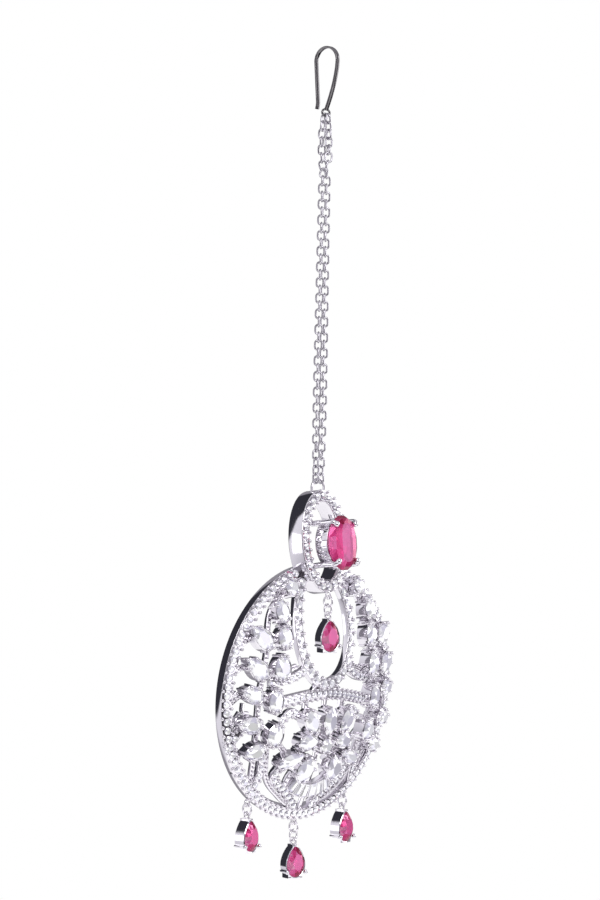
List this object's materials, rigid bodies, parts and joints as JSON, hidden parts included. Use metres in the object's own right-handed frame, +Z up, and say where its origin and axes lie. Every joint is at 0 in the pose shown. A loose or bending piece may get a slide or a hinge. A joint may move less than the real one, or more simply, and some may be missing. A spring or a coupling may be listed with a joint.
{
  "type": "maang tikka",
  "caption": "Forehead jewel on a hair hook and a double chain: a domed openwork crescent with an oval frame, a large red stone, white stone vines and red pear drops.",
  "frame": {"origin": "inside top of the hair hook's bend, where the jewel hangs", "axes": "+Z up along the chain, -Y out of the jewel's front, +X to the viewer's right"},
  "size_m": [0.0468, 0.0129, 0.1503],
  "materials": {
    "metal": "bright rhodium plate, polished",
    "white_stone": "clear cut stone, polished facets",
    "red_stone": "ruby pink cut stone, polished facets"
  },
  "bodies": {
    "hook_and_chains": {"hair_hook": "metal", "chain_left": "metal", "chain_right": "metal"},
    "pendant": {"centre_stone": "red_stone", "inner_drop_lower_ring": "metal", "inner_drop_setting": "metal", "inner_drop_stone": "red_stone", "inner_drop_upper_ring": "metal", "left_drop_ring": "metal", "left_drop_setting": "metal", "left_drop_stone": "red_stone", "middle_drop_lower_ring": "metal", "middle_drop_setting": "metal", "middle_drop_stone": "red_stone", "middle_drop_upper_ring": "metal", "pendant_frame": "metal", "right_drop_ring": "metal", "right_drop_setting": "metal", "right_drop_stone": "red_stone", "stone_bud_left": "white_stone", "stone_bud_right": "white_stone", "stone_flower_heart": "white_stone", "stone_leaf_1_inner_left": "white_stone", "stone_leaf_1_inner_right": "white_stone", "stone_leaf_1_outer_left": "white_stone", "stone_leaf_1_outer_right": "white_stone", "stone_leaf_2_inner_left": "white_stone", "stone_leaf_2_inner_right": "white_stone", "stone_leaf_2_outer_left": "white_stone", "stone_leaf_2_outer_right": "white_stone", "stone_leaf_3_inner_left": "white_stone", "stone_leaf_3_inner_right": "white_stone", "stone_leaf_3_outer_left": "white_stone", "stone_leaf_3_outer_right": "white_stone", "stone_leaf_4_inner_left": "white_stone", "stone_leaf_4_inner_right": "white_stone", "stone_leaf_4_outer_left": "white_stone", "stone_leaf_4_outer_right": "white_stone", "stone_leaf_5_left": "white_stone", "stone_leaf_5_right": "white_stone", "stone_petal_lower_left": "white_stone", "stone_petal_lower_right": "white_stone", "stone_petal_side_left": "white_stone", "stone_petal_side_right": "white_stone", "stone_petal_top": "white_stone", "stone_petal_upper_left": "white_stone", "stone_petal_upper_right": "white_stone", "stone_sepal_left": "white_stone", "stone_sepal_right": "white_stone", "stone_tip_left": "white_stone", "stone_tip_right": "white_stone"}
  },
  "joints": [
    {"name": "pendant_swing", "type": "hinge", "parent": "hook_and_chains", "child": "pendant", "pos_m": [0, 0, -0.07764], "axis": [1, 0, 0], "range_deg": [-40, 40]}
  ]
}
